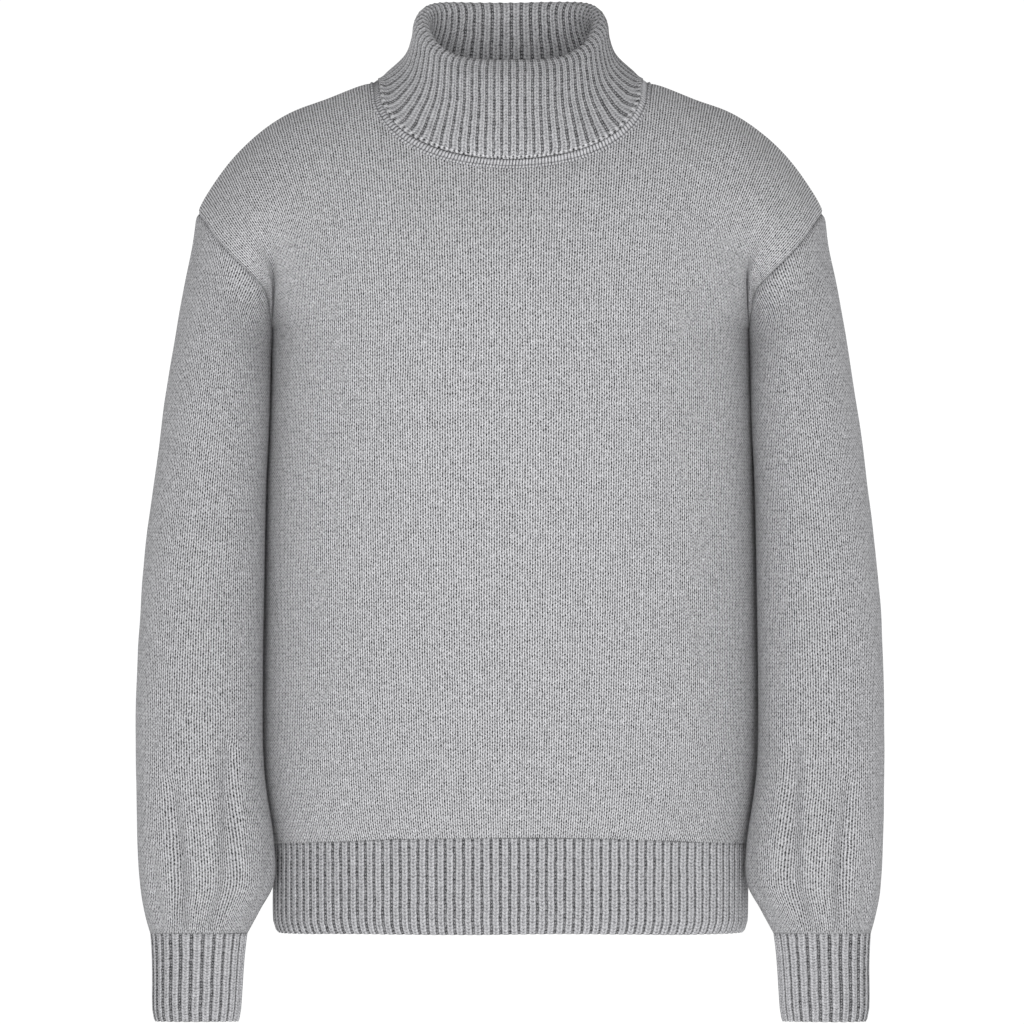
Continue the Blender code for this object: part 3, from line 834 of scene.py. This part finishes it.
for hand, name in ((1, "cuff_left"), (-1, "cuff_right")):
    rings = [lambda turn, cut=cut: tube_point(cut, turn) for cut in CUFF]
    lines = CUFF_REPEATS * CUFF_POINTS
    cuff = cloth(
        name + "_cloth", tube_rows(rings, lines, hand, SLEEVE_ROW),
        [CUFF_REPEATS * line / lines for line in range(lines + 1)], CUFF_COURSE,
        cuff_relief, RIB_WALL, outwards=lambda centre, hand=hand: from_arm(centre, hand),
        closed=True,
    )
    cuff.data.materials.append(rib_knit)
    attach(cuff, "root")
    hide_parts(name)


# Linking band
# A narrow knitted band that joins the collar to the neck edge of the panels. Its stitches
# lie across it, and a chain of linked loops runs along its outer edge.

BAND_STROKES = 270
BAND_WIDTH = 0.009
BAND_WALL = 0.0012
BAND_COURSE = 0.0115
BAND_STEPS = 14
BAND_OVERHANG = 0.0012
CHAIN_HEIGHT = 0.0011
CHAIN_WIDTH = 0.0010
CROWN_HEIGHT = 0.0019
CROWN_STARTS = 0.0006


def mirrored(point):
    """The same point on the wearer's other half."""
    return Vector((-point.x, point.y, point.z))


@lru_cache(maxsize=None)
def neck_places():
    """Places round half the neck, from the middle of the front to the middle of the back."""
    rises = 16
    half = []
    for side in (-1, 1):
        corner = neck_line(side)[-1][1]
        rising = [(NECK_SIDE_LINE, corner * (1.0 - step / rises)) for step in range(1, rises + 1)]
        quarter = [(side, out, down) for out, down in neck_line(side) + rising]
        half += quarter if side < 0 else quarter[-2::-1]
    return half


@lru_cache(maxsize=None)
def yoke_ring(inset, lift):
    """Half a ring round the neck, moved in from the neck edge and lifted off the panels."""
    points, normals = [], []
    for side, out, down in neck_places():
        point = yoke(down, out, side)
        below = yoke(down + 0.02, out, side) - point
        beside = yoke(down, out + 0.01, side) - point
        normal = below.cross(beside) * -side
        if down == 0.0:
            point.y = normal.y = 0.0
        points.append(point)
        normals.append(normal.normalized())
    ring = []
    for index, (point, normal) in enumerate(zip(points, normals)):
        before = points[index - 2] if index > 1 else mirrored(points[2 - index])
        after = points[index + 2] if index + 2 < len(points) else mirrored(points[-3])
        inward = normal.cross(after - before).normalized()
        ring.append(point + inward * inset + normal * lift)
    return ring


@lru_cache(maxsize=None)
def neck_turns():
    """Plan angles of the places round half the neck, 0 in front and pi at the back."""
    edge = yoke_ring(0.0, 0.0)
    front, back = -edge[0].y, edge[-1].y
    return [atan2(p.x / NECK_POINT, -p.y / (front if p.y <= 0 else back)) for p in edge]


def round_neck(ring, turn):
    """The point of a ring round the neck at a plan angle of 0 to 2 pi."""
    turn = turn % (2 * pi)
    if turn > pi:
        return mirrored(round_neck(ring, 2 * pi - turn))
    turns = neck_turns()
    index = min(max(bisect(turns, turn) - 1, 0), len(turns) - 2)
    share = (turn - turns[index]) / (turns[index + 1] - turns[index])
    return ring[index].lerp(ring[index + 1], min(max(share, 0.0), 1.0))


def linked_stitch(nodes, links, stroke, height):
    """Height of the band: a bar for each stitch across it, sunk along the chain of loops at its
    edge, which paints a line of shade there.
    """
    chain_height = 0.78
    leaning = worked(nodes, links, "MULTIPLY_ADD", height, STITCH_SLANT, stroke)
    beat = worked(nodes, links, "FRACT", leaning)
    bars = worked(nodes, links, "SINE", worked(nodes, links, "MULTIPLY", beat, pi))
    # Beside the chain the bars sink to about a third of their height, a dip that the colour turns
    # into a dark line of painted shade.
    above_chain = worked(nodes, links, "SUBTRACT", height, chain_height)
    from_chain = worked(nodes, links, "ABSOLUTE", above_chain)
    gap = worked(nodes, links, "MULTIPLY_ADD", from_chain, 9.0, 0.35)
    gap = worked(nodes, links, "MINIMUM", gap, 1.0)
    return worked(nodes, links, "MULTIPLY", worked(nodes, links, "POWER", bars, 0.8), gap)


# Its near-black colour is painted shade for the gaps between the strokes and the line along the
# chain.
band_knit = knit_material(
    "grey_linked_band", linked_stitch, light=(0.58, 0.58, 0.60), painted_gap_shade=(0.04, 0.04, 0.043),
    relief=0.0009, slack=(0.0, 0.0), gap_shade_variation=0.5,
)


def band_lift(inset):
    """How far the band stands off the panels: a bead for the chain, then a low crown."""
    chain = CHAIN_HEIGHT * exp(-(inset / CHAIN_WIDTH) ** 2)
    share = (inset - CROWN_STARTS) / (BAND_WIDTH - CROWN_STARTS)
    crown = CROWN_HEIGHT * sin(pi * ease(share))
    return max(chain, crown)


def band_relief(stroke, fallen, point):
    bar_height, loop_height, edge = 0.0002, 0.0004, 0.002
    bars = bar_height * cos(2 * pi * stroke) * ease(fallen / edge)
    near_chain = exp(-((fallen - BAND_OVERHANG) / CHAIN_WIDTH) ** 2)
    return loop_height * cos(pi * stroke) * near_chain - bars


band_lines = BAND_STROKES * 4
across_band = BAND_WIDTH + BAND_OVERHANG
insets = [across_band * step / BAND_STEPS - BAND_OVERHANG for step in range(BAND_STEPS + 1)]
band = cloth(
    "neck_seam_cloth",
    [
        [round_neck(yoke_ring(inset, band_lift(inset)), 2 * pi * line / band_lines)
         for line in range(band_lines + 1)]
        for inset in insets
    ],
    [BAND_STROKES * line / band_lines for line in range(band_lines + 1)],
    BAND_COURSE, band_relief, BAND_WALL, outwards=lambda centre: Vector((0.0, 0.0, 1.0)),
    closed=True,
)
band.data.materials.append(band_knit)
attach(band, "root")
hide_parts("neck_seam")


# Collar
# One tall tube of one by one rib in the same wool, linked to the band and folded over once:
# the stand inside, the soft roll of the fold, and the turn-down that spreads over the
# shoulders. A few plain courses finish its free edge.

COLLAR_REPEATS = 66
COLLAR_COURSE = 0.0025
COLLAR_POINTS = 8
COLLAR_MARGIN = 0.0045
COLLAR_ROW = 0.0036
COLLAR_RIB_SCALE = 0.6
COLLAR_RIB_FADE = 0.004
COLLAR_WAVINESS = 0.7
FRONT_CROWDING = 0.2
RING_SQUARENESS = 3.5

# The free edge rests on the band, a little closer where it crosses the shoulder line.
TURN_DOWN_INSET = 0.0056
TURN_DOWN_LIFT = 0.0030
TURN_DOWN_TUCK = 0.0009
EDGE_SPREAD = 0.14
FOOT_SPREAD = 0.08

# Free is 0 where the knit follows the shoulder and 1 where it stands on its own. Spread is
# how far the ribs swing out towards the shoulders.
Ring = namedtuple("Ring", "half_width front back front_height side_height back_height free spread")
COLLAR_RINGS = (
    Ring(0.0890, 0.1010, 0.0575, -0.0440, 0.0045, 0.0050, 0.60, 0.10),
    Ring(0.0778, 0.0930, 0.0565, -0.0220, 0.0165, 0.0240, 0.92, 0.05),
    Ring(0.0736, 0.0840, 0.0540, -0.0030, 0.0310, 0.0410, 1.00, 0.01),
    Ring(0.0722, 0.0765, 0.0505, 0.0050, 0.0410, 0.0530, 1.00, 0.00),
    Ring(0.0678, 0.0700, 0.0440, 0.0105, 0.0470, 0.0595, 1.00, 0.00),
    Ring(0.0632, 0.0645, 0.0380, 0.0040, 0.0415, 0.0535, 1.00, 0.00),
    Ring(0.0655, 0.0680, 0.0365, -0.0130, 0.0290, 0.0340, 1.00, 0.00),
    Ring(0.0720, 0.0770, 0.0370, -0.0330, 0.0160, 0.0120, 0.85, 0.03),
    Ring(0.0850, 0.0880, 0.0385, -0.0520, 0.0030, -0.0060, 0.45, 0.06),
)
FOLD_RING = 4


def free_point(ring, turn):
    """A point on a ring of the standing collar, dipping towards the front."""
    mean = (ring.front_height + ring.back_height) / 2
    level = (mean + ring.side_height) / 2
    tilt = (ring.front_height - ring.back_height) / 2
    saddle = (mean - ring.side_height) / 2
    forward = (1.0 if cos(turn) >= 0 else -1.0) * (1.0 - abs(sin(turn)) ** RING_SQUARENESS) ** 0.5
    depth = ring.front if cos(turn) >= 0 else ring.back
    height = level + tilt * forward + saddle * (2 * forward * forward - 1.0)
    return Vector((ring.half_width * sin(turn), -depth * cos(turn), height))


def rib_turn(share):
    """The plan angle of a rib; the ribs are closer together in front than at the back."""
    turn = 2 * pi * share
    corrections = 20
    for _ in range(corrections):
        turn = 2 * pi * share - FRONT_CROWDING * sin(turn)
    return turn


def collar_line(share):
    """Points down one line of the collar, from its free edge over the fold to its foot."""
    turn = rib_turn(share)
    free_edge = yoke_ring(TURN_DOWN_INSET, TURN_DOWN_LIFT)
    tucked_edge = yoke_ring(TURN_DOWN_INSET, TURN_DOWN_LIFT - TURN_DOWN_TUCK)
    foot = yoke_ring(BAND_WIDTH, 0.0)
    swung = turn - EDGE_SPREAD * sin(2 * turn)
    points = [round_neck(free_edge, swung).lerp(round_neck(tucked_edge, swung), sin(turn) ** 4)]
    for index, ring in enumerate(COLLAR_RINGS):
        swung = turn - ring.spread * sin(2 * turn)
        resting = round_neck(free_edge if index < FOLD_RING else foot, swung)
        points.append(resting.lerp(free_point(ring, swung), ring.free))
    points.append(round_neck(foot, turn - FOOT_SPREAD * sin(2 * turn)))
    return points


def collar_relief(wale, fallen, point):
    ribs = COLLAR_RIB_SCALE * rib_groove(wale) * ease((fallen - COLLAR_MARGIN) / COLLAR_RIB_FADE)
    return COLLAR_WAVINESS * unevenness(point) - ribs


def from_neck(centre):
    """The way outwards from the neck, for the turn-down only."""
    turned_down = 0.12
    return Vector((centre.x, centre.y, 0.0)) if centre.length > turned_down else Vector()


# Its near-black colour is painted shade for the sunk purl lines and the gaps between stitches.
collar_knit = knit_material(
    "grey_collar_rib", rib_stitch, light=(0.58, 0.58, 0.60), painted_gap_shade=(0.04, 0.04, 0.042),
    relief=0.0011, slack=(0.18, 0.6), gap_shade_variation=1.0,
)

collar_lines = COLLAR_REPEATS * COLLAR_POINTS
lines = [collar_line(line / collar_lines) for line in range(collar_lines + 1)]
collar = cloth(
    "collar_cloth",
    [[along(line, position) for line in lines] for position in stations(lines[0], COLLAR_ROW)],
    [COLLAR_REPEATS * line / collar_lines for line in range(collar_lines + 1)],
    COLLAR_COURSE, collar_relief, RIB_WALL, outwards=from_neck, closed=True, trim=COLLAR_MARGIN,
)
collar.data.materials.append(collar_knit)
collar.data.materials.append(plain_knit)
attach(collar, "root")
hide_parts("collar")


# Stage
# A plain pale floor well below the sweater, soft light all round and two broad soft lights
# in front.

FLOOR_HEIGHT = -1.0
FLOOR_HALF_SIDE = 15.0
SOFTBOX_POWER = 62.0
SOFTBOX_PLACE = Vector((1.6, -4.2, -0.2))
MIDDLE_OF_SWEATER = Vector((0.0, 0.0, -0.35))

floor_mesh = bpy.data.meshes.new("floor")
floor_shape = bmesh.new()
bmesh.ops.create_grid(floor_shape, x_segments=1, y_segments=1, size=FLOOR_HALF_SIDE)
bmesh.ops.translate(floor_shape, verts=floor_shape.verts, vec=(0.0, 0.0, FLOOR_HEIGHT))
floor_shape.to_mesh(floor_mesh)
floor_shape.free()
floor = bpy.data.objects.new("floor", floor_mesh)
bpy.context.scene.collection.objects.link(floor)
floor_paint = bpy.data.materials.new("pale_floor")
floor_paint.use_nodes = True
floor_shader = floor_paint.node_tree.nodes["Principled BSDF"]
floor_shader.inputs["Base Color"].default_value = (0.8, 0.8, 0.8, 1.0)
floor_shader.inputs["Roughness"].default_value = 1.0
floor_shader.inputs["Specular IOR Level"].default_value = 0.0
floor_shader.inputs["Emission Color"].default_value = (1.0, 1.0, 1.0, 1.0)
floor_shader.inputs["Emission Strength"].default_value = 0.65
floor_mesh.materials.append(floor_paint)

room = bpy.data.worlds.new("soft_light_all_round")
room.use_nodes = True
sky = room.node_tree.nodes["Background"]
sky.inputs["Color"].default_value = (1.0, 1.0, 1.0, 1.0)
seen = room.node_tree.nodes.new("ShaderNodeLightPath")
level = room.node_tree.nodes.new("ShaderNodeMath")
level.operation = "MULTIPLY_ADD"
level.inputs[1].default_value = 0.55
level.inputs[2].default_value = 0.50
room.node_tree.links.new(seen.outputs["Is Camera Ray"], level.inputs[0])
room.node_tree.links.new(level.outputs["Value"], sky.inputs["Strength"])
bpy.context.scene.world = room

for name, hand in (("left_softbox", 1), ("right_softbox", -1)):
    light = bpy.data.lights.new(name, "AREA")
    light.shape = "RECTANGLE"
    light.size = 2.2
    light.size_y = 2.6
    light.energy = SOFTBOX_POWER
    box = bpy.data.objects.new(name, light)
    box.location = (hand * SOFTBOX_PLACE.x, SOFTBOX_PLACE.y, SOFTBOX_PLACE.z)
    aim = MIDDLE_OF_SWEATER - box.location
    box.rotation_euler = aim.to_track_quat("-Z", "Y").to_euler()
    bpy.context.scene.collection.objects.link(box)

lens = bpy.data.cameras.new("camera")
lens.sensor_width = 36.0
lens.lens = 367.8
lens.shift_x = 0.0015
lens.clip_end = 100.0
camera = bpy.data.objects.new("camera", lens)
camera.location = (0.0, -8.0, -0.3305)
camera.rotation_euler = (pi / 2, 0.0, 0.0)
bpy.context.scene.collection.objects.link(camera)
bpy.context.scene.camera = camera
bpy.context.scene.view_settings.view_transform = "Standard"
